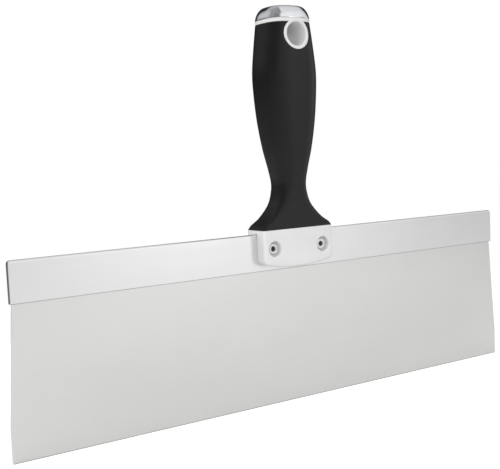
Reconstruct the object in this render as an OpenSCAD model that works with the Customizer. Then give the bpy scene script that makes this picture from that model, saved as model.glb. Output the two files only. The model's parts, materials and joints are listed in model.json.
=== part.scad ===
// Drywall taping knife, 14 inch, with an overmoulded hammer-end handle.
// X runs along the blade, Y through its thickness with the front face towards -Y,
// and Z up the handle. The origin is the middle of the blade's working edge.

/* [Blade] */
// Length of the working edge (14 inches)
blade_w = 355.6; // [254:0.1:406.4]
// Thickness of the stainless sheet
blade_t = 0.5; // [0.3:0.05:0.8]
// Height of blade left free below the back
blade_free_h = 80.5; // [60:0.5:100]
// Height of the straight, flared ends next to the working edge
flare_h = 18.3; // [8:0.1:40]
// How far each side tapers in above the flared ends
side_taper = 4.5; // [1:0.1:8]
// Radius on the two working corners
blade_corner_r = 0.8; // [0.2:0.1:2]

/* [Aluminium back] */
// Height of the folded back
back_h = 21.9; // [16:0.1:30]
// Thickness of each wall of the fold
back_wall = 0.95; // [0.6:0.05:1.5]
// How far each end stops short of the working corners
back_end_gap = 3.5; // [2:0.1:6]
// Radius on the two upper corners
back_corner_r = 1.3; // [0.5:0.1:4]

/* [Bolster] */
// Width of the clasp on the back
bolster_w = 50.6; // [46:0.1:60]
// Depth of the clasp, front to rear
bolster_d = 17.6; // [15:0.1:20]
// Height of the bridge over the fold
bridge_h = 2.2; // [1.5:0.1:5]
// Gap between the tip of the cheeks and the lower edge of the back
cheek_gap = 1.3; // [0.5:0.1:5]
// Radius of the bowed lower edge of each cheek
cheek_bow_r = 108; // [60:1:300]
// Radius of the two lower corners of each cheek
cheek_corner_r = 4.6; // [2:0.1:8]
// Radius on the upright edges of the clasp
bolster_edge_r = 1.6; // [1:0.1:3]

/* [Rivets] */
// Distance between the two rivets
rivet_pitch = 35.2; // [30:0.1:38]
// Height of the rivets above the lower edge of the back
rivet_rise = 13.1; // [10:0.1:15]
// Diameter of the rivet's shank
rivet_d = 4.8; // [4:0.1:5]
// Diameter of the hollow in the rivet's tail
rivet_hollow_d = 2.6; // [2:0.1:3.4]
// Diameter of the counterbore around each rivet
sink_d = 9; // [8:0.1:11]
// Depth of the counterbores
sink_depth = 3.4; // [2:0.1:4]

/* [Handle] */
// Height of the grip from the bolster to the collar
grip_h = 119.2; // [110:0.1:140]
// Thickness of the rubber over the core
grip_wall = 2.8; // [2:0.1:4]
// Radius of the hang hole
hang_hole_r = 6.8; // [4:0.1:7.5]
// Outer radius of the rim around the hang hole
hang_rim_r = 8.7; // [8.5:0.1:10]
// Distance from the hang hole's axis up to the top of the grip
hang_drop = 7.0; // [6.2:0.1:12]

/* [Collar and hammer cap] */
// Height of the collar between the grip and the cap
collar_h = 2.1; // [2:0.1:6]
// Height of the cap
cap_h = 7.6; // [7:0.1:14]
// How far the cap's shoulder reaches in from its rim
cap_shoulder = 4.8; // [3:0.1:6]
// Wall between the cap's rim and its socket
cap_wall = 4; // [3.5:0.1:5]
// Height of the spigot inside the cap
spigot_h = 4.5; // [3.8:0.1:5]

/* [Hidden] */
$fn = 64;

// Handle shape: height above the bolster as a part of grip_h, half width,
// half depth, and how square the section is (2 is an ellipse).
FORM = [
    [0.000, 25.2, 8.7, 24.0],
    [0.020, 23.4, 8.7, 16.0],
    [0.045, 19.4, 8.6, 9.0],
    [0.079, 15.6, 8.6, 5.6],
    [0.121, 12.0, 8.7, 4.0],
    [0.172, 10.0, 9.0, 3.2],
    [0.222, 9.5, 9.3, 2.9],
    [0.290, 11.3, 10.1, 2.7],
    [0.391, 14.3, 11.8, 2.7],
    [0.517, 16.9, 13.3, 2.7],
    [0.643, 18.4, 14.2, 2.7],
    [0.761, 18.6, 14.6, 2.8],
    [0.879, 16.7, 14.6, 2.9],
    [1.000, 14.5, 13.9, 3.0]
];
LAST = len(FORM) - 1;
SIDES = 40;          // points around each section of the handle
FLARE_PART = 0.17;   // part of the grip's height that flares to the bolster
FLARE_RINGS = 10;    // sections along the flare
SWELL_RINGS = 20;    // sections along the rest of the grip
CAP_RINGS = 10;      // sections over the cap's shoulder
CAP_FULLNESS = 1.7;  // how full the cap's shoulder is (1 is a chamfer, 2 is an ellipse)

back_t = blade_t + 2 * back_wall;
back_w = blade_w - 2 * back_end_gap;
back_top = blade_free_h + back_h;
blade_root_w = blade_w - 2 * side_taper;
blade_top = back_top - back_t / 2;
bolster_top = back_top + bridge_h;
cheek_low = blade_free_h + cheek_gap;
slot_top = back_top + 0.1;
rivet_z = blade_free_h + rivet_rise;
rivet_hole_d = rivet_d + 0.1;
sink_floor = bolster_d / 2 - sink_depth;
grip_top = bolster_top + grip_h;
hang_z = grip_top - hang_drop;
collar_top = grip_top + collar_h;
overlap = 1;         // how far joined solids run into each other
through = 100;       // longer than anything that is cut through

// Retaining bead inside the cap and the groove that it snaps into
bead_from = 1.6;
bead_to = 2.6;
bead_depth = 0.4;
socket_play = 0.1;

// ---- Helpers ----

// Points on an arc about c, from angle a0 to angle a1
function arc(c, r, a0, a1, steps = 12) =
    [for (i = [0:steps]) let (a = a0 + (a1 - a0) * i / steps)
        c + r * [cos(a), sin(a)]];

// Section of the handle: a superellipse with half width a and half depth b
function section(a, b, n) =
    [for (i = [0:SIDES - 1]) let (c = cos(360 * i / SIDES), s = sin(360 * i / SIDES))
        [a * sign(c) * pow(abs(c), 2 / n), b * sign(s) * pow(abs(s), 2 / n)]];

function at_height(outline, z) = [for (p = outline) [p[0], p[1], z]];

// FORM's column k at part p of the grip's height, on a smooth curve
function rise(i, k) =
    let (lo = max(i - 1, 0), hi = min(i + 1, LAST))
    (FORM[hi][k] - FORM[lo][k]) / (FORM[hi][0] - FORM[lo][0]);
function stretch(p, i = 0) = i >= LAST - 1 || p <= FORM[i + 1][0] ? i : stretch(p, i + 1);
function form(part, k) =
    let (p = min(max(part, 0), 1), i = stretch(p), w = FORM[i + 1][0] - FORM[i][0],
         t = (p - FORM[i][0]) / w)
    (2 * t * t * t - 3 * t * t + 1) * FORM[i][k]
        + (t * t * t - 2 * t * t + t) * w * rise(i, k)
        + (3 * t * t - 2 * t * t * t) * FORM[i + 1][k]
        + (t * t * t - t * t) * w * rise(i + 1, k);

// Handle outline at part p of the grip's height, drawn in by inset
function handle_section(p, inset = 0) =
    section(form(p, 1) - inset, form(p, 2) - inset, form(p, 3));

// Heights of the sections, closer together in the flare
GRIP_PARTS = concat(
    [for (i = [0:FLARE_RINGS - 1]) FLARE_PART * i / FLARE_RINGS],
    [for (i = [0:SWELL_RINGS]) FLARE_PART + (1 - FLARE_PART) * i / SWELL_RINGS]);

// Closed solid through a list of rings that all have SIDES points
module loft(rings) {
    top = (len(rings) - 1) * SIDES;
    sides = [for (j = [0:len(rings) - 2], i = [0:SIDES - 1])
        let (k = (i + 1) % SIDES, lo = j * SIDES, hi = lo + SIDES)
        each [[lo + i, hi + i, hi + k], [lo + i, hi + k, lo + k]]];
    polyhedron(
        points = [for (ring = rings) each ring],
        faces = concat([[for (i = [0:SIDES - 1]) i]],
                       [[for (i = [SIDES - 1:-1:0]) top + i]], sides));
}

// Outer form of the grip, from the bolster to the collar
module grip_form() {
    loft([for (p = GRIP_PARTS)
        at_height(handle_section(p), bolster_top + p * grip_h)]);
}

// Stem of the core inside the rubber, run on into the bolster and the collar
module stem() {
    loft(concat(
        [at_height(handle_section(0, grip_wall), bolster_top - overlap)],
        [for (p = GRIP_PARTS)
            at_height(handle_section(p, grip_wall), bolster_top + p * grip_h)],
        [at_height(handle_section(1, grip_wall), grip_top + overlap)]));
}

// Round bar along Y at the hang hole
module hang_bar(r) {
    translate([0, 0, hang_z])
        rotate([90, 0, 0])
            cylinder(r = r, h = through, center = true);
}

// The same cut at both rivets, along Y
module at_rivets() {
    for (side = [-1, 1])
        translate([side * rivet_pitch / 2, 0, rivet_z])
            rotate([90, 0, 0])
                children();
}

// An outline drawn in X and Z, as a plate about the mid-plane
module plate(points, t) {
    rotate([90, 0, 0])
        linear_extrude(t, center = true)
            polygon(points);
}

// ---- Blade and back ----

blade_outline = concat(
    arc([-blade_w / 2 + blade_corner_r, blade_corner_r], blade_corner_r, 180, 270, 6),
    arc([blade_w / 2 - blade_corner_r, blade_corner_r], blade_corner_r, 270, 360, 6),
    [[blade_w / 2, flare_h],
     [blade_root_w / 2, blade_free_h],
     [blade_root_w / 2, blade_top],
     [-blade_root_w / 2, blade_top],
     [-blade_root_w / 2, blade_free_h],
     [-blade_w / 2, flare_h]]);

back_outline = concat(
    [[-back_w / 2, blade_free_h], [back_w / 2, blade_free_h]],
    arc([back_w / 2 - back_corner_r, back_top - back_corner_r], back_corner_r, 0, 90, 6),
    arc([-back_w / 2 + back_corner_r, back_top - back_corner_r], back_corner_r, 90, 180, 6));

// Sheet that flexes against the wall, with flared ends and a straight edge
module blade() {
    color([0.80, 0.81, 0.80])
        difference() {
            plate(blade_outline, blade_t);
            at_rivets() cylinder(d = rivet_hole_d, h = through, center = true);
        }
}

// Folded strip that stiffens the blade along its upper edge
module blade_back() {
    color([0.88, 0.89, 0.89])
        difference() {
            intersection() {
                rotate([90, 0, 90])
                    linear_extrude(back_w, center = true)
                        union() {
                            translate([-back_t / 2, blade_free_h])
                                square([back_t, back_h - back_t / 2]);
                            translate([0, blade_top])
                                circle(d = back_t);
                        }
                plate(back_outline, back_t + overlap);
            }
            translate([-back_w, -blade_t / 2, 0])
                cube([2 * back_w, blade_t, blade_top]);
            at_rivets() cylinder(d = rivet_hole_d, h = through, center = true);
        }
}

// ---- Handle core ----

// Lower edge of the cheeks: one wide bow that runs into a round at each corner
bow_centre = [0, cheek_low + cheek_bow_r];
corner_x = bolster_w / 2 - cheek_corner_r;
bow_angle = asin(corner_x / (cheek_bow_r - cheek_corner_r));
corner_z = bow_centre[1] - (cheek_bow_r - cheek_corner_r) * cos(bow_angle);
cheek_outline = concat(
    arc([-corner_x, corner_z], cheek_corner_r, 180, 270 - bow_angle, 8),
    arc(bow_centre, cheek_bow_r, 270 - bow_angle, 270 + bow_angle, 16),
    arc([corner_x, corner_z], cheek_corner_r, 270 + bow_angle, 360, 8),
    [[bolster_w / 2, bolster_top], [-bolster_w / 2, bolster_top]]);

bolster_plan = [for (q = [[1, 1, 0], [-1, 1, 90], [-1, -1, 180], [1, -1, 270]])
    each arc([q[0] * (bolster_w / 2 - bolster_edge_r), q[1] * (bolster_d / 2 - bolster_edge_r)],
             bolster_edge_r, q[2], q[2] + 90, 6)];

// Two cheeks and a bridge that clasp the back, counterbored for the rivets
module bolster() {
    difference() {
        intersection() {
            translate([0, 0, cheek_low - overlap])
                linear_extrude(bolster_top - cheek_low + overlap)
                    polygon(bolster_plan);
            plate(cheek_outline, bolster_d + overlap);
        }
        translate([-bolster_w, -back_t / 2, 0])
            cube([2 * bolster_w, back_t, slot_top]);
        at_rivets() {
            cylinder(d = rivet_hole_d, h = through, center = true);
            for (side = [-1, 1])
                translate([0, 0, side * (sink_floor + through / 2)])
                    cylinder(d = sink_d, h = through, center = true);
        }
    }
}

// Collar that shows as a light band, and the spigot that carries the cap
module collar() {
    translate([0, 0, grip_top])
        linear_extrude(collar_h)
            polygon(handle_section(1));
    for (part = [[0, bead_from, 0], [bead_from, bead_to, bead_depth + socket_play],
                 [bead_to, spigot_h, 0]])
        translate([0, 0, collar_top + part[0]])
            linear_extrude(part[1] - part[0])
                polygon(handle_section(1, cap_wall + part[2]));
}

// Rigid moulding: bolster, stem, hang-hole rim, collar and spigot
module handle_core() {
    color([0.87, 0.88, 0.88])
        difference() {
            union() {
                bolster();
                stem();
                intersection() {
                    hang_bar(hang_rim_r);
                    grip_form();
                }
                collar();
            }
            hang_bar(hang_hole_r);
        }
}

// ---- Grip, cap and rivets ----

// Soft rubber moulded over the stem, open around the hang-hole rim
module grip() {
    color([0.14, 0.14, 0.15])
        difference() {
            grip_form();
            stem();
            hang_bar(hang_rim_r);
        }
}

// Chromed hammer cap: rounded shoulder outside, beaded socket inside
module end_cap() {
    color([0.72, 0.75, 0.77])
        difference() {
            loft([for (i = [0:CAP_RINGS])
                let (a = 90 * i / CAP_RINGS, power = 2 / CAP_FULLNESS)
                at_height(handle_section(1, cap_shoulder * (1 - pow(cos(a), power))),
                          collar_top + cap_h * pow(sin(a), power))]);
            for (part = [[-overlap, bead_from, 0], [bead_from, bead_to, bead_depth],
                         [bead_to, spigot_h + socket_play, 0]])
                translate([0, 0, collar_top + part[0]])
                    linear_extrude(part[1] - part[0])
                        polygon(handle_section(1, cap_wall - socket_play + part[2]));
        }
}

// Half section of a semi-tubular rivet: a low head behind, a rolled hollow tail in front
head_r = 3.8;
head_rim = 0.3;
head_h = 1.3;
roll_r = 3.5;
roll_h = 0.45;
hollow_depth = 7;
module rivet() {
    grip_l = 2 * sink_floor;
    hollow_r = rivet_hollow_d / 2;
    lip_r = (roll_r - hollow_r) / 2;
    crown = head_h - head_rim;
    dome_r = (head_r * head_r + crown * crown) / (2 * crown);
    dome_angle = asin(head_r / dome_r);
    color([0.78, 0.78, 0.77])
        rotate([90, 0, 0])
            translate([0, 0, -grip_l / 2])
                rotate_extrude()
                    polygon(concat(
                        arc([0, dome_r - head_h], dome_r, 270, 270 + dome_angle, 8),
                        [[head_r, 0], [rivet_d / 2, 0], [rivet_d / 2, grip_l],
                         [roll_r, grip_l]],
                        arc([hollow_r + lip_r, grip_l + roll_h], lip_r, 0, 180, 8),
                        [[hollow_r, grip_l - hollow_depth],
                         [0, grip_l - hollow_depth - hollow_r]]));
}

module rivet_left() {
    translate([-rivet_pitch / 2, 0, rivet_z]) rivet();
}

module rivet_right() {
    translate([rivet_pitch / 2, 0, rivet_z]) rivet();
}

blade();
blade_back();
handle_core();
grip();
end_cap();
rivet_left();
rivet_right();
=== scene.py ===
import json
import math

import bmesh
import bpy
from mathutils import Matrix, Vector


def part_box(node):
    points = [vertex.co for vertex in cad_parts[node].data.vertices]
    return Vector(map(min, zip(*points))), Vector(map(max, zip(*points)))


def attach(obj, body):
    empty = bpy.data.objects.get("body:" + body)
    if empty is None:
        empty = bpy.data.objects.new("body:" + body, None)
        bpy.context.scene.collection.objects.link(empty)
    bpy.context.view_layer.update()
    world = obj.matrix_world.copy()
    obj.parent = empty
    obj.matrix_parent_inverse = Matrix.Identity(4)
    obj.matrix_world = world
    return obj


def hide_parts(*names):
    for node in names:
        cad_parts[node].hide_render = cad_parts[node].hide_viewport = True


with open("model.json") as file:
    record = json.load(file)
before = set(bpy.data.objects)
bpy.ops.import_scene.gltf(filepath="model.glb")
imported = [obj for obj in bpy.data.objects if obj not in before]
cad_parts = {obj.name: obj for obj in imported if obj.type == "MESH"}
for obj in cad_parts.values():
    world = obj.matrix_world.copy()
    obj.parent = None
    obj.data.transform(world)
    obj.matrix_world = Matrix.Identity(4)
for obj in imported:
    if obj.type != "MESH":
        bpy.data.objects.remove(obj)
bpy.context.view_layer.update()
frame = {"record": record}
MM = 0.001

# ---------------------------------------------------------------- sizes

BODY = "root"
blade_low, blade_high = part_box("blade")
back_low, back_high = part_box("blade_back")
core_low, core_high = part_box("handle_core")
grip_low, grip_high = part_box("grip")
cap_low, cap_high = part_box("end_cap")
hang = next(m for m in frame["record"]["mounts"] if m["name"] == "hang_hole")

# Blade
BLADE_T = blade_high.y - blade_low.y
FLARE_H = 18.3 * MM          # height of the straight ends next to the working edge
SIDE_TAPER = 4.5 * MM        # how far each side tapers in above them
BLADE_CORNER_R = 0.8 * MM
BLADE_EDGE = 0.1 * MM        # rounding on every edge of the sheet

# Aluminium back
BACK_CORNER_R = 1.3 * MM
BACK_LIP = 0.22 * MM         # rounding on the cut edges

# Bolster
BOLSTER_HALF_W = core_high.x
BOLSTER_HALF_D = 8.8 * MM
BOLSTER_TOP = grip_low.z
BOLSTER_LOW = core_low.z
BOW_R = 108 * MM             # bowed lower edge of the cheeks
CHEEK_CORNER_R = 4.6 * MM
CHEEK_EDGE_R = 1.6 * MM      # rounding around the face of each cheek
CHEEK_BACK_R = 0.25 * MM     # rounding where a cheek meets the aluminium
SLOT_TOP = back_high.z + 0.1 * MM
SLOT_CORNER = 0.985          # where the slot's ceiling ends, as a part of the half width
SLOT_REST = 0.97             # how far the outline's other points are drawn in there

# Rivets and their counterbores
RIVET_R = 2.4 * MM
RIVET_PLAY = 0.05 * MM       # between a rivet's shank and its holes
HEAD_R = 3.8 * MM
HEAD_RIM = 0.3 * MM          # height of the head at its rim
HEAD_H = 1.3 * MM
ROLL_R = 3.5 * MM            # tail rolled outwards around the hollow
ROLL_H = 0.45 * MM
HOLLOW_R = 1.3 * MM
HOLLOW_DEPTH = 7 * MM
SINK_R = 4.5 * MM
SINK_DEPTH = 3.4 * MM
SINK_EDGE = 0.35 * MM

# Handle
GRIP_H = grip_high.z - grip_low.z
GRIP_TOP = grip_high.z
GRIP_WALL = 2.8 * MM
GRIP_LIP = 0.3 * MM          # rounding at the two ends of the rubber
HANG_Z = hang["pos_m"][2]
HANG_R = hang["dims"]["r_mm"] * MM
RIM_R = 8.7 * MM
RIM_INNER_EDGE = 0.8 * MM
RIM_OUTER_EDGE = 0.25 * MM
RIM_PROUD = 0.06 * MM
DIP_WIDTH = 0.9 * MM         # the rubber rolls in towards the rim
DIP_DEPTH = 0.3 * MM
FLARE_PART = 0.18            # part of the grip's height that flares to the bolster
RIM_MARGIN = 1.5 * MM        # the grip's sections are close from this far below the rim
CUT_REACH = 20 * MM          # half length of the bar that cuts the hang hole

# Collar, spigot and cap
COLLAR_EDGE = 0.3 * MM
CAP_H = cap_high.z - cap_low.z
CAP_SHOULDER = 4.8 * MM
CAP_FULLNESS = 1.7           # 1 is a chamfer, 2 an ellipse
CAP_EDGE = 0.25 * MM
CAP_WALL = 4 * MM
SPIGOT_TOP = core_high.z
BEAD_FROM = 1.6 * MM
BEAD_TO = 2.6 * MM
BEAD_DEPTH = 0.4 * MM
SOCKET_PLAY = 0.1 * MM

# Handle form, as in the design: part of the grip's height, half width and half
# depth in millimetres, and how square the section is (2 is an ellipse)
FORM = [
    (0.000, 25.2, 8.7, 24.0),
    (0.020, 23.4, 8.7, 16.0),
    (0.045, 19.4, 8.6, 9.0),
    (0.079, 15.6, 8.6, 5.6),
    (0.121, 12.0, 8.7, 4.0),
    (0.172, 10.0, 9.0, 3.2),
    (0.222, 9.5, 9.3, 2.9),
    (0.290, 11.3, 10.1, 2.7),
    (0.391, 14.3, 11.8, 2.7),
    (0.517, 16.9, 13.3, 2.7),
    (0.643, 18.4, 14.2, 2.7),
    (0.761, 18.6, 14.6, 2.8),
    (0.879, 16.7, 14.6, 2.9),
    (1.000, 14.5, 13.9, 3.0),
]


# ---------------------------------------------------------------- handle form

def form_slope(i, column):
    low, high = FORM[max(i - 1, 0)], FORM[min(i + 1, len(FORM) - 1)]
    return (high[column] - low[column]) / (high[0] - low[0])


def form_value(part, column):
    """FORM's column at a part of the grip's height, on a smooth curve."""
    p = min(max(part, 0.0), 1.0)
    i = max(k for k in range(len(FORM) - 1) if k == 0 or FORM[k][0] < p)
    width = FORM[i + 1][0] - FORM[i][0]
    t = (p - FORM[i][0]) / width
    start, end = FORM[i][column], FORM[i + 1][column]
    return (
        (2 * t**3 - 3 * t**2 + 1) * start
        + (t**3 - 2 * t**2 + t) * width * form_slope(i, column)
        + (3 * t**2 - 2 * t**3) * end
        + (t**3 - t**2) * width * form_slope(i + 1, column)
    )


def form_at(part):
    """Half width, half depth and exponent of the handle's section, in metres."""
    return form_value(part, 1) * MM, form_value(part, 2) * MM, form_value(part, 3)


def part_at(z):
    return (z - grip_low.z) / GRIP_H


def quarter(a, b, n, count):
    """Points from (a, 0) round to just before (0, b) on a superellipse, spaced half by
    length and half by how far the curve turns, so the corners stay round."""
    dense = []
    for i in range(241):
        t = math.radians(90 * i / 240)
        dense.append((a * max(math.cos(t), 0) ** (2 / n), b * math.sin(t) ** (2 / n)))
    steps = [(q[0] - p[0], q[1] - p[1]) for p, q in zip(dense, dense[1:])]
    length = sum(math.hypot(*step) for step in steps)
    bearing = [math.atan2(step[1], step[0]) for step in steps]
    measure = [0.0]
    for i, step in enumerate(steps):
        turn = abs(bearing[i] - bearing[i - 1]) if i else 0.0
        measure.append(measure[-1] + math.hypot(*step) / length + turn / (math.pi / 2))
    points = []
    k = 0
    for j in range(count):
        goal = measure[-1] * j / count
        while measure[k + 1] < goal:
            k += 1
        t = (goal - measure[k]) / (measure[k + 1] - measure[k])
        points.append(tuple(u + (v - u) * t for u, v in zip(dense[k], dense[k + 1])))
    return points


def section(part, inset, z, count):
    """Ring of points around the handle at a part of its height, drawn in by inset."""
    a, b, n = form_at(part)
    first = quarter(a - inset, b - inset, n, count // 4)
    second = quarter(b - inset, a - inset, n, count // 4)
    ring = [(x, y) for x, y in first] + [(-y, x) for x, y in second]
    ring += [(-x, -y) for x, y in first] + [(y, -x) for x, y in second]
    return [Vector((x, y, z)) for x, y in ring]


def half_depth(x, z):
    """Distance from the mid-plane to the handle's surface at x and z."""
    a, b, n = form_at(part_at(z))
    return b * (1 - min(abs(x) / a, 1) ** n) ** (1 / n)


# ---------------------------------------------------------------- mesh helpers

def arc(centre, radius, start, end, steps):
    """Points (u, v) on an arc about centre, from start to end in degrees."""
    points = []
    for i in range(steps + 1):
        angle = math.radians(start + (end - start) * i / steps)
        points.append(
            (centre[0] + radius * math.cos(angle), centre[1] + radius * math.sin(angle))
        )
    return points


def object_from(name, bm):
    bmesh.ops.recalc_face_normals(bm, faces=bm.faces[:])
    mesh = bpy.data.meshes.new(name)
    bm.to_mesh(mesh)
    bm.free()
    obj = bpy.data.objects.new(name, mesh)
    bpy.context.scene.collection.objects.link(obj)
    return obj


def loft(name, rings, capped=True):
    """Closed rings of equal length joined in order. With capped the ends are filled,
    and without it the last ring joins the first, as in a tube bent round on itself."""
    bm = bmesh.new()
    rows = [[bm.verts.new(p) for p in ring] for ring in rings]
    pairs = list(zip(rows, rows[1:]))
    if not capped:
        pairs.append((rows[-1], rows[0]))
    for low, high in pairs:
        for i in range(len(low)):
            k = (i + 1) % len(low)
            bm.faces.new((low[i], low[k], high[k], high[i]))
    if capped:
        bm.faces.new(rows[0][::-1])
        bm.faces.new(rows[-1])
    return object_from(name, bm)


def lathe(name, profile, x, z, count=64):
    """Profile of (radius, y) turned about the line along Y through x and z."""
    bm = bmesh.new()
    rows = []
    for radius, y in profile:
        if radius == 0:
            rows.append([bm.verts.new((x, y, z))])
            continue
        rows.append([
            bm.verts.new((
                x + radius * math.cos(math.tau * i / count),
                y,
                z + radius * math.sin(math.tau * i / count),
            ))
            for i in range(count)
        ])
    for low, high in zip(rows, rows[1:]):
        for i in range(count):
            k = (i + 1) % count
            corners = [low[i % len(low)], low[k % len(low)], high[k % len(high)], high[i % len(high)]]
            bm.faces.new(list(dict.fromkeys(corners)))
    return object_from(name, bm)


def combine(target, tool, operation):
    """Exact boolean of target and tool. The tool is used up."""
    modifier = target.modifiers.new(operation, "BOOLEAN")
    modifier.operation = operation
    modifier.solver = "EXACT"
    modifier.object = tool
    bpy.context.view_layer.update()
    graph = bpy.context.evaluated_depsgraph_get()
    result = bpy.data.meshes.new_from_object(target.evaluated_get(graph))
    target.modifiers.clear()
    old = target.data
    target.data = result
    bpy.data.meshes.remove(old)
    bpy.data.objects.remove(tool)
    return target


def bevel_sharp(obj, width, segments, sharpest=60):
    """Rounds every edge whose faces meet at more than the given angle."""
    bm = bmesh.new()
    bm.from_mesh(obj.data)
    edges = [
        e for e in bm.edges
        if len(e.link_faces) == 2 and e.calc_face_angle(0) > math.radians(sharpest)
    ]
    bmesh.ops.bevel(
        bm, geom=edges, offset=width, segments=segments, profile=0.5,
        affect="EDGES", clamp_overlap=True,
    )
    bm.to_mesh(obj.data)
    bm.free()


def finish_piece(obj, nodes, material, sharp=35, plates=False):
    """Shades a piece, gives it its material and puts it in the place of its CAD nodes.
    With plates, broad flat faces stay flat where they run into a rounded edge."""
    obj.data.shade_smooth()
    obj.data.set_sharp_from_angle(angle=math.radians(sharp))
    if plates:
        obj.modifiers.new("flat_faces", "WEIGHTED_NORMAL").keep_sharp = True
    obj.data.materials.clear()
    obj.data.materials.append(material)
    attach(obj, BODY)
    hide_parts(*nodes)


# ---------------------------------------------------------------- node helpers

class Graph:
    """A node tree, with short ways to add and join nodes."""

    def __init__(self, tree):
        self.tree = tree

    def add(self, kind, inputs=(), **settings):
        node = self.tree.nodes.new(kind)
        for key, value in settings.items():
            setattr(node, key, value)
        for key, value in dict(inputs).items():
            self.feed(node.inputs[key], value)
        return node

    def feed(self, socket, value):
        if isinstance(value, bpy.types.NodeSocket):
            self.tree.links.new(value, socket)
        else:
            socket.default_value = value

    def split(self, vector):
        """The x, y and z of a vector."""
        return tuple(self.add("ShaderNodeSeparateXYZ", {"Vector": vector}).outputs)

    def spread(self, value, low, high, from_low=0.3, from_high=0.7):
        """Value carried from from_low..from_high, where noise mostly lies, to low..high."""
        return self.add(
            "ShaderNodeMapRange",
            {"Value": value, "From Min": from_low, "From Max": from_high,
             "To Min": low, "To Max": high},
        ).outputs["Result"]

    def math(self, operation, a, b=0.0):
        return self.add("ShaderNodeMath", {0: a, 1: b}, operation=operation).outputs[0]

    def colour(self, factor, first, second):
        node = self.add("ShaderNodeMix", data_type="RGBA")
        self.feed(node.inputs["Factor"], factor)
        self.feed(node.inputs[6], first)
        self.feed(node.inputs[7], second)
        return node.outputs[2]


class Surface(Graph):
    """A material's nodes, around its shader."""

    def __init__(self, name):
        self.material = bpy.data.materials.new(name)
        self.material.use_nodes = True
        super().__init__(self.material.node_tree)
        self.shader = self.tree.nodes["Principled BSDF"]
        self.position = self.add("ShaderNodeTexCoord").outputs["Object"]

    def stretched(self, scale):
        return self.add(
            "ShaderNodeMapping", {"Vector": self.position, "Scale": scale}
        ).outputs["Vector"]

    def noise(self, scale, detail=2.0, stretch=None, roughness=0.5):
        """Grey noise. Scale is in cycles per metre, times stretch along each axis."""
        vector = self.stretched(stretch) if stretch else self.position
        return self.add(
            "ShaderNodeTexNoise",
            {"Vector": vector, "Scale": scale, "Detail": detail, "Roughness": roughness},
        ).outputs["Fac"]

    def bump(self, height, distance):
        return self.add(
            "ShaderNodeBump", {"Height": height, "Distance": distance, "Strength": 1.0}
        ).outputs["Normal"]

    def set(self, **values):
        for key, value in values.items():
            self.feed(self.shader.inputs[key.replace("_", " ")], value)


def grey(level, blue=0.0, red=0.0):
    """Grey of a level, with its blue and red raised by a part of it."""
    return (level * (1 + red), level, level * (1 + blue), 1)


# ---------------------------------------------------------------- materials

def blade_steel():
    """Rolled stainless: fine grain along the blade and faint clouds, darker at its
    ground working edge, and painted shade on the blade just under the back's lip."""
    g = Surface("blade_steel")
    clouds = g.noise(9, 3, (1, 1, 2.2))
    grain = g.noise(60, 3, (0.4, 60, 60), 0.6)
    _, _, height = g.split(g.position)
    edge = g.spread(height, 1, 0, 0.3 * MM, 0.6 * MM)
    tone = g.colour(g.spread(clouds, 0, 1), grey(0.75, -0.015, 0.005), grey(0.79, -0.02, 0.005))
    tone = g.colour(g.spread(grain, 0, 0.12), tone, grey(0.86, -0.01))
    # Painted shade: a dark band on the blade just under the back stands in for the shadow under its
    # lip. The same dark grey also tones the ground working edge.
    gap = g.spread(height, 0, 1, back_low.z - 0.35 * MM, back_low.z - 0.15 * MM)
    tone = g.colour(g.math("MAXIMUM", edge, gap), tone, grey(0.45))
    g.set(
        Base_Color=tone,
        Roughness=g.math("ADD", g.spread(grain, 0.33, 0.39), g.spread(clouds, -0.02, 0.02)),
        Metallic=1.0,
        Normal=g.bump(grain, 0.004 * MM),
    )
    return g.material


def back_aluminium():
    """Satin aluminium strip with a drawn grain along its length and darker cut edges:
    the raw cut edge, darkened further as painted shade for the shadow line under the
    lip and the shade on the ends.
    """
    g = Surface("back_aluminium")
    grain = g.noise(55, 3, (0.1, 45, 45), 0.6)
    clouds = g.noise(14, 2)
    tone = g.colour(g.spread(clouds, 0, 1), grey(0.8, 0.01), grey(0.83, 0.01))
    tone = g.colour(g.spread(grain, 0, 0.2), tone, grey(0.88))
    x, _, z = g.split(g.position)
    # Painted shade, partly the raw cut edge: the lowest band of the lip and both cut ends are
    # darkened as the shadow line under the lip and the shade on the ends.
    lip = g.spread(z, 1, 0, back_low.z + 0.1 * MM, back_low.z + 0.3 * MM)
    along = g.math("ABSOLUTE", x)
    end = g.spread(along, 0, 1, back_high.x - 0.4 * MM, back_high.x - 0.15 * MM)
    tone = g.colour(g.math("MAXIMUM", lip, end), tone, grey(0.34))
    g.set(
        Base_Color=tone,
        Roughness=g.spread(grain, 0.28, 0.36),
        Metallic=1.0,
        Normal=g.bump(grain, 0.005 * MM),
    )
    return g.material


def core_plastic():
    """Off-white rigid moulding with the fine sparkle of a spark-eroded mould."""
    g = Surface("core_plastic")
    texture = g.noise(2600, 2)
    tint = g.noise(40, 2)
    g.set(
        Base_Color=g.colour(g.spread(tint, 0, 1), grey(0.68, 0.005), grey(0.71, 0.0)),
        Roughness=g.spread(texture, 0.34, 0.46),
        Normal=g.bump(texture, 0.012 * MM),
        Specular_IOR_Level=0.5,
    )
    return g.material


def grip_rubber():
    """Black thermoplastic rubber: matte, with a fine moulded stipple."""
    g = Surface("grip_rubber")
    stipple = g.noise(1700, 2, roughness=0.6)
    handling = g.noise(45, 3)
    g.set(
        Base_Color=g.colour(g.spread(handling, 0, 1), grey(0.004, 0.06), grey(0.006, 0.06)),
        Roughness=g.math("ADD", g.spread(stipple, 0.38, 0.48), g.spread(handling, -0.03, 0.03)),
        Normal=g.bump(stipple, 0.03 * MM),
        Specular_IOR_Level=0.34,
    )
    return g.material


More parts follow.
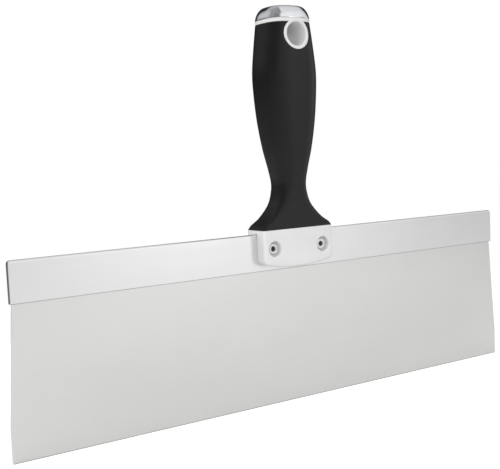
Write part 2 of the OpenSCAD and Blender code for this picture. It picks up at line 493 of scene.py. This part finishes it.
def cap_chrome():
    """Bright plate with slight ripple under it and faint handling haze."""
    g = Surface("cap_chrome")
    haze = g.noise(220, 3)
    ripple = g.noise(240, 1)
    g.set(
        Base_Color=g.colour(g.spread(haze, 0, 1), grey(0.76, 0.04, -0.01), grey(0.8, 0.04, -0.01)),
        Roughness=g.spread(haze, 0.04, 0.08),
        Metallic=1.0,
        Normal=g.bump(ripple, 0.014 * MM),
    )
    return g.material


def rivet_steel():
    """Plated steel with fine lighter and darker marks from riveting."""
    g = Surface("rivet_steel")
    marks = g.noise(900, 3)
    g.set(
        Base_Color=g.colour(g.spread(marks, 0, 1), grey(0.74), grey(0.86)),
        Roughness=g.spread(marks, 0.32, 0.46),
        Metallic=1.0,
        Normal=g.bump(marks, 0.01 * MM),
    )
    return g.material


# ---------------------------------------------------------------- blade and back

def rivet_places():
    """Node, x and z of each rivet."""
    for node in ("rivet_left", "rivet_right"):
        low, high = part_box(node)
        yield node, (low.x + high.x) / 2, (low.z + high.z) / 2


def cut_hole(obj, radius, reach, x, z, count=64):
    """Cuts a round hole along Y, as far as reach on each side of the mid-plane."""
    profile = [(0, -reach), (radius, -reach), (radius, reach), (0, reach)]
    combine(obj, lathe("hole", profile, x, z, count), "DIFFERENCE")


def cut_rivet_holes(obj, reach):
    for _, x, z in rivet_places():
        cut_hole(obj, RIVET_R + RIVET_PLAY, reach, x, z)


def make_blade(material):
    half = blade_high.x
    root = half - SIDE_TAPER
    r = BLADE_CORNER_R
    outline = (
        arc((-half + r, r), r, 180, 270, 8)
        + arc((half - r, r), r, 270, 360, 8)
        + [(half, FLARE_H), (root, back_low.z), (root, blade_high.z)]
        + [(-root, blade_high.z), (-root, back_low.z), (-half, FLARE_H)]
    )
    rings = [[Vector((x, y, z)) for x, z in outline] for y in (-BLADE_T / 2, BLADE_T / 2)]
    blade = loft("blade_sheet", rings)
    bevel_sharp(blade, BLADE_EDGE, 2)
    cut_rivet_holes(blade, 2 * BLADE_T)
    finish_piece(blade, ["blade"], material, plates=True)


def back_section(x, top, inset):
    """The folded strip cut across at x: outer fold, lower edges and the pocket."""
    outer = back_high.y - inset
    pocket = BLADE_T / 2 + inset
    foot = back_low.z + inset
    lip = BACK_LIP
    fold = top - back_high.y
    points = arc((0, fold), outer, 0, 180, 16)
    points += arc((-outer + lip, foot + lip), lip, 180, 270, 4)
    points += arc((-pocket - lip, foot + lip), lip, 270, 360, 4)
    points += arc((0, fold), pocket, 180, 0, 8)
    points += arc((pocket + lip, foot + lip), lip, 180, 270, 4)
    points += arc((outer - lip, foot + lip), lip, 270, 360, 4)
    return [Vector((x, y, z)) for y, z in points]


def make_back(material):
    """One loft along X, with its upper corners rounded and its cut ends softened."""
    half = back_high.x
    r = BACK_CORNER_R
    stations = arc((half - BACK_LIP, BACK_LIP), BACK_LIP, 0, -90, 3)
    stations += [(half - r * i / 8, 0.0) for i in range(2, 9)]
    profile = []
    for x, inset in stations:
        past = max(0.0, x - (half - r))
        drop = r - math.sqrt(max(r * r - past * past, 0.0))
        profile.append((x, back_high.z - drop, inset))
    rings = [back_section(x, top, inset) for x, top, inset in profile]
    rings += [back_section(-x, top, inset) for x, top, inset in profile[::-1]]
    back = loft("folded_back", rings)
    cut_rivet_holes(back, 4 * back_high.y)
    finish_piece(back, ["blade_back"], material, plates=True)


# ---------------------------------------------------------------- handle core

def cheek_outline(inset, upper):
    """Front outline of the bolster, drawn in below the bridge by inset and at its
    sides by upper."""
    r = CHEEK_CORNER_R - inset
    corner_x = BOLSTER_HALF_W - CHEEK_CORNER_R
    centre_z = BOLSTER_LOW + BOW_R
    reach = BOW_R - CHEEK_CORNER_R
    turn = math.degrees(math.asin(corner_x / reach))
    corner_z = centre_z - reach * math.cos(math.radians(turn))
    points = arc((-corner_x, corner_z), r, 180, 270 - turn, 12)
    points += arc((0, centre_z), BOW_R - inset, 270 - turn, 270 + turn, 40)[1:-1]
    points += arc((corner_x, corner_z), r, 270 + turn, 360, 12)
    side = BOLSTER_HALF_W - inset
    bridge_side = BOLSTER_HALF_W - upper
    crook = SLOT_TOP - 2 * CHEEK_BACK_R
    points += [(side, crook), (bridge_side, SLOT_TOP), (bridge_side, BOLSTER_TOP)]
    return points + [(-bridge_side, BOLSTER_TOP), (-bridge_side, SLOT_TOP), (-side, crook)]


def make_bolster():
    """Cheeks and bridge in one loft along Y, with the slot for the back between."""
    face, meet = CHEEK_EDGE_R, CHEEK_BACK_R
    rings = []
    for inset, y in arc((face, face - BOLSTER_HALF_D), face, 270, 180, 6):
        rings.append([Vector((x, y, z)) for x, z in cheek_outline(inset, inset)])
    for inset, y in arc((meet, back_low.y - meet), meet, 180, 90, 4):
        rings.append([Vector((x, y, z)) for x, z in cheek_outline(inset, 0)])
    inner = []
    for x, z in cheek_outline(CHEEK_BACK_R, 0):
        if z < SLOT_TOP:
            x, z = SLOT_REST * x, SLOT_TOP
        inner.append(Vector((x, back_low.y, z)))
    right, left = -6, -1     # the outline's last points below the bridge
    inner[right].x = SLOT_CORNER * BOLSTER_HALF_W
    inner[left].x = -SLOT_CORNER * BOLSTER_HALF_W
    rings.append(inner)
    rings += [[Vector((p.x, -p.y, p.z)) for p in ring] for ring in rings[::-1]]
    block = loft("handle_core_moulding", rings)
    floor = BOLSTER_HALF_D - SINK_DEPTH
    mouth = SINK_R + SINK_EDGE
    outside = BOLSTER_HALF_D + 1 * MM
    sink = [(0, floor), (SINK_R, floor)]
    sink += arc((mouth, BOLSTER_HALF_D - SINK_EDGE), SINK_EDGE, 180, 90, 6)
    sink += [(mouth, outside), (0, outside)]
    for _, x, z in rivet_places():
        for side in (-1, 1):
            tool = lathe("sink", [(radius, side * y) for radius, y in sink], x, z)
            combine(block, tool, "DIFFERENCE")
    cut_rivet_holes(block, BOLSTER_HALF_D)
    return block


def make_stem():
    """The stem that the rubber is moulded over."""
    count = 64
    steps = 48
    rings = [section(0, GRIP_WALL, grip_low.z - 1 * MM, count)]
    for i in range(steps + 1):
        part = i / steps
        rings.append(section(part, GRIP_WALL, grip_low.z + part * GRIP_H, count))
    rings.append(section(1, GRIP_WALL, GRIP_TOP + 1 * MM, count))
    return loft("stem", rings)


def make_collar():
    """The light band and, in one loft with it, the grooved spigot for the cap."""
    count = 160
    e = COLLAR_EDGE
    base = cap_low.z
    profile = arc((e, GRIP_TOP + e), e, 270, 180, 4) + arc((e, base - e), e, 180, 90, 4)
    groove = CAP_WALL + BEAD_DEPTH + SOCKET_PLAY
    profile += [
        (CAP_WALL, base), (CAP_WALL, base + BEAD_FROM), (groove, base + BEAD_FROM),
        (groove, base + BEAD_TO), (CAP_WALL, base + BEAD_TO), (CAP_WALL, SPIGOT_TOP),
    ]
    return loft("collar", [section(1, inset, z, count) for inset, z in profile])


def make_rim():
    """Tube around the hang hole, flush with the handle front and rear."""
    lip, edge = RIM_INNER_EDGE, RIM_OUTER_EDGE
    outer, inner = RIM_R - edge, HANG_R + lip
    profile = arc((outer, edge), edge, 0, -90, 4)
    profile += [(outer - (outer - inner) * i / 4, 0.0) for i in range(1, 4)]
    profile += arc((inner, lip), lip, -90, -180, 8)
    count = 144
    rings = []
    for i in range(count):
        angle = math.tau * i / count
        front = []
        for radius, sink in profile:
            x, z = radius * math.cos(angle), HANG_Z + radius * math.sin(angle)
            front.append(Vector((x, -half_depth(x, z) - RIM_PROUD + sink, z)))
        rings.append(front + [Vector((p.x, -p.y, p.z)) for p in front[::-1]])
    return loft("rim", rings, capped=False)


def make_core(material):
    core = make_bolster()
    combine(core, make_stem(), "UNION")
    combine(core, make_collar(), "UNION")
    clear = HANG_R + RIM_INNER_EDGE + 0.1 * MM
    cut_hole(core, clear, CUT_REACH, 0, HANG_Z, 128)
    combine(core, make_rim(), "UNION")
    finish_piece(core, ["handle_core"], material)


# ---------------------------------------------------------------- grip and cap

def grip_heights():
    """Parts of the grip's height, closest at its ends, at the flare and by the rim."""
    lip = [GRIP_LIP * (1 - math.cos(math.radians(t))) for t in (0, 22.5, 45, 67.5, 90)]
    start = [h / GRIP_H for h in lip]
    near_rim = part_at(HANG_Z - RIM_R - RIM_MARGIN)
    stops = [(start[-1], 0), (FLARE_PART, 44), (near_rim, 90), (1 - start[-1], 44)]
    heights = list(start)
    for (low, _), (high, steps) in zip(stops, stops[1:]):
        heights += [low + (high - low) * i / steps for i in range(1, steps + 1)]
    return heights + [1 - part for part in start[-2::-1]]


def lip_inset(part):
    """How far the rubber draws in where it ends against the core."""
    height = min(part, 1 - part) * GRIP_H
    past = max(0.0, 1 - height / GRIP_LIP)
    return GRIP_LIP * (1 - math.sqrt(1 - past * past))


def rolled_in(point):
    """The point moved towards the mid-plane where it is close to the rim."""
    gap = math.hypot(point.x, point.z - HANG_Z) - RIM_R
    near = min(max(1 - gap / DIP_WIDTH, 0.0), 1.0)
    y = point.y - math.copysign(DIP_DEPTH * near * near, point.y)
    return Vector((point.x, y, point.z))


def make_grip(material):
    count = 224
    outer = []
    for part in grip_heights():
        z = grip_low.z + part * GRIP_H
        outer.append([rolled_in(p) for p in section(part, lip_inset(part), z, count)])
    steps = 40
    inner = []
    for i in range(steps + 1):
        part = 1 - i / steps
        inner.append(section(part, GRIP_WALL, grip_low.z + part * GRIP_H, count))
    grip = loft("rubber_grip", outer + inner, capped=False)
    cut_hole(grip, RIM_R, CUT_REACH, 0, HANG_Z, 144)
    finish_piece(grip, ["grip"], material)


def make_cap(material):
    count = 160
    steps = 28
    base = cap_low.z
    e = CAP_EDGE
    profile = arc((e, base + e), e, 270, 180, 4)[:-1]
    power = 2 / CAP_FULLNESS
    start = math.asin(2 * e / CAP_H)
    for i in range(steps + 1):
        t = start + (math.pi / 2 - start) * i / steps
        inset = CAP_SHOULDER * (1 - max(math.cos(t), 0) ** power)
        profile.append((inset, base + CAP_H * math.sin(t) ** power))
    socket = CAP_WALL - SOCKET_PLAY
    bead = socket + BEAD_DEPTH
    ceiling = SPIGOT_TOP + SOCKET_PLAY
    inside = [
        (socket, ceiling), (socket, base + BEAD_TO), (bead, base + BEAD_TO),
        (bead, base + BEAD_FROM), (socket, base + BEAD_FROM), (socket, base),
    ]
    rings = [section(1, inset, z, count) for inset, z in inside + profile]
    cap = loft("hammer_cap", rings)
    finish_piece(cap, ["end_cap"], material, 40)


# ---------------------------------------------------------------- rivets

def make_rivets(material):
    front = -BOLSTER_HALF_D + SINK_DEPTH
    rear = -front
    crown = HEAD_H - HEAD_RIM
    dome_r = (HEAD_R**2 + crown**2) / (2 * crown)
    dome_turn = math.asin(HEAD_R / dome_r)
    lip_r = (ROLL_R - HOLLOW_R) / 2
    for node, x, z in rivet_places():
        profile = []
        for i in range(9):
            t = dome_turn * i / 8
            profile.append((dome_r * math.sin(t), rear + HEAD_H - dome_r * (1 - math.cos(t))))
        profile += [(HEAD_R, rear), (RIVET_R, rear), (RIVET_R, front), (ROLL_R, front)]
        profile += arc((HOLLOW_R + lip_r, front - ROLL_H), lip_r, 0, -180, 12)
        profile += [(HOLLOW_R, front + HOLLOW_DEPTH), (0, front + HOLLOW_DEPTH + HOLLOW_R)]
        rivet = lathe(node + "_turned", profile, x, z, 72)
        finish_piece(rivet, [node], material)


# ---------------------------------------------------------------- stage

CAMERA_AT = Vector((-0.3236, -0.4367, 0.1503))
CAMERA_YAW = math.radians(-33.99)     # turned from looking along +Y
CAMERA_PITCH = math.radians(-5.16)
CAMERA_ROLL = math.radians(-2.51)
CAMERA_LENS = 65.63
CAMERA_SENSOR = 36


def make_camera():
    forward = Vector((
        -math.sin(CAMERA_YAW) * math.cos(CAMERA_PITCH),
        math.cos(CAMERA_YAW) * math.cos(CAMERA_PITCH),
        math.sin(CAMERA_PITCH),
    ))
    level = Vector((math.cos(CAMERA_YAW), math.sin(CAMERA_YAW), 0))
    upright = level.cross(forward)
    right = level * math.cos(CAMERA_ROLL) + upright * math.sin(CAMERA_ROLL)
    up = upright * math.cos(CAMERA_ROLL) - level * math.sin(CAMERA_ROLL)
    data = bpy.data.cameras.new("camera")
    data.sensor_width = CAMERA_SENSOR
    data.lens = CAMERA_LENS
    data.clip_start = 0.01
    camera = bpy.data.objects.new("camera", data)
    turned = Matrix((right, up, -forward)).transposed().to_4x4()
    camera.matrix_world = Matrix.Translation(CAMERA_AT) @ turned
    bpy.context.scene.collection.objects.link(camera)
    bpy.context.scene.camera = camera


WHITE = (1, 1, 1, 1)

# Brightness of the studio by bearing, at four heights: 0 is +X, 90 is +Y and -90 is
# -Y. It is brightest in front, to the right of the camera, and dark behind the object.
BELOW = [
    (-180, 0.4), (-86, 0.4), (-70, 0.5), (-57, 1.2), (-46, 0.4), (-32, 0.3), (180, 0.4),
]
EYE_LEVEL = [
    (-180, 0.05), (-155, 0.05), (-130, 0.13), (-108, 0.55), (-84, 0.7), (-71, 0.82),
    (-59, 2.05), (-51, 1.0), (-42, 0.38), (-26, 0.55), (-10, 1.5), (8, 0.08), (100, 0.02),
    (118, 0.05), (150, 0.07), (180, 0.05),
]
OVERHEAD = [
    (-180, 0.34), (-150, 0.25), (-124, 0.28), (-108, 1.0), (-60, 1.05), (-20, 0.85), (-6, 0.55),
    (4, 0.03), (97, 0.03), (108, 0.52), (118, 0.66), (142, 0.62), (156, 0.38), (180, 0.34),
]
HIGH = [
    (-180, 0.36), (-112, 0.32), (-94, 0.9), (0, 0.8), (30, 0.6), (60, 0.55), (100, 0.5),
    (140, 0.4), (180, 0.36),
]
# Sine of the elevation where each part ends and the next is reached
BELOW_TO_EYE = (-0.16, -0.04)
EYE_TO_OVERHEAD = (0.12, 0.38)
OVERHEAD_TO_HIGH = (0.6, 0.76)


def make_world():
    """Plain white to the camera, and the brightness above to all other rays."""
    world = bpy.data.worlds.new("studio")
    bpy.context.scene.world = world
    world.use_nodes = True
    g = Graph(world.node_tree)
    x, y, height = g.split(g.add("ShaderNodeTexCoord").outputs["Generated"])
    bearing = g.spread(g.math("ARCTAN2", y, x), 0, 1, -math.pi, math.pi)

    def ring(levels):
        node = g.add("ShaderNodeValToRGB", {"Fac": bearing})
        stops = node.color_ramp.elements
        for i, (degrees, level) in enumerate(levels):
            spot = (degrees + 180) / 360
            stop = stops[0] if i == 0 else stops[-1] if i == len(levels) - 1 else stops.new(spot)
            stop.position = spot
            stop.color = (level, level, level, 1)
        return node.outputs["Color"]

    def rise(first, second, span):
        """First below the span of sine of elevation, and second above it."""
        start, end = span
        factor = g.add(
            "ShaderNodeMapRange", {"Value": height, "From Min": start, "From Max": end},
            interpolation_type="SMOOTHSTEP",
        ).outputs["Result"]
        return g.colour(factor, first, second)

    around = rise(ring(BELOW), ring(EYE_LEVEL), BELOW_TO_EYE)
    around = rise(around, ring(OVERHEAD), EYE_TO_OVERHEAD)
    around = rise(around, ring(HIGH), OVERHEAD_TO_HIGH)
    seen = g.add("ShaderNodeLightPath").outputs["Is Camera Ray"]
    g.feed(g.tree.nodes["Background"].inputs["Color"], g.colour(seen, around, WHITE))


FLOOR_LOW = (-0.5, -0.5)
FLOOR_HIGH = (0.7, 0.3)
FLOOR_GLOW = 0.4             # lifts the floor to white where the camera sees it


def make_floor():
    corners = [(FLOOR_LOW[0], FLOOR_LOW[1]), (FLOOR_HIGH[0], FLOOR_LOW[1]),
               (FLOOR_HIGH[0], FLOOR_HIGH[1]), (FLOOR_LOW[0], FLOOR_HIGH[1])]
    bm = bmesh.new()
    bm.faces.new([bm.verts.new((x, y, 0)) for x, y in corners])
    floor = object_from("floor", bm)
    g = Surface("floor_paper")
    seen = g.add("ShaderNodeLightPath").outputs["Is Camera Ray"]
    g.set(
        Base_Color=grey(0.9),
        Roughness=0.9,
        Emission_Color=WHITE,
        Emission_Strength=g.math("MULTIPLY", seen, FLOOR_GLOW),
    )
    floor.data.materials.append(g.material)


# Softboxes by name: place, target, width and height, and watts. Nothing mirrors them:
# the metal mirrors the world, the floor and its own neighbours.
SOFTBOXES = {
    "key": ((0.1, -0.3, 1.3), (0.1, -0.3, 0), (1.2, 1.2), 4.5),
    "fill": ((-2.0, -0.6, 0.6), (0, 0, 0.15), (1.4, 1.4), 19),
    "front": ((-1.3, -1.7, 0.4), (0, 0, 0.15), (1.2, 1.2), 12.5),
    "rear": ((-0.8, 1.3, 0.5), (0, 0, 0.15), (2.2, 1.0), 10),
}


def make_softbox(name, place, target, size, watts):
    data = bpy.data.lights.new(name, "AREA")
    data.shape = "RECTANGLE"
    data.size, data.size_y = size
    data.energy = watts
    light = bpy.data.objects.new(name, data)
    light.location = place
    aim = Vector(target) - Vector(place)
    light.rotation_euler = aim.to_track_quat("-Z", "Y").to_euler()
    light.visible_glossy = False
    bpy.context.scene.collection.objects.link(light)


# ---------------------------------------------------------------- the knife

make_camera()
make_world()
make_floor()
for softbox, settings in SOFTBOXES.items():
    make_softbox(softbox, *settings)
make_blade(blade_steel())
make_back(back_aluminium())
make_core(core_plastic())
make_grip(grip_rubber())
make_cap(cap_chrome())
make_rivets(rivet_steel())
bpy.context.scene.view_settings.view_transform = "Standard"
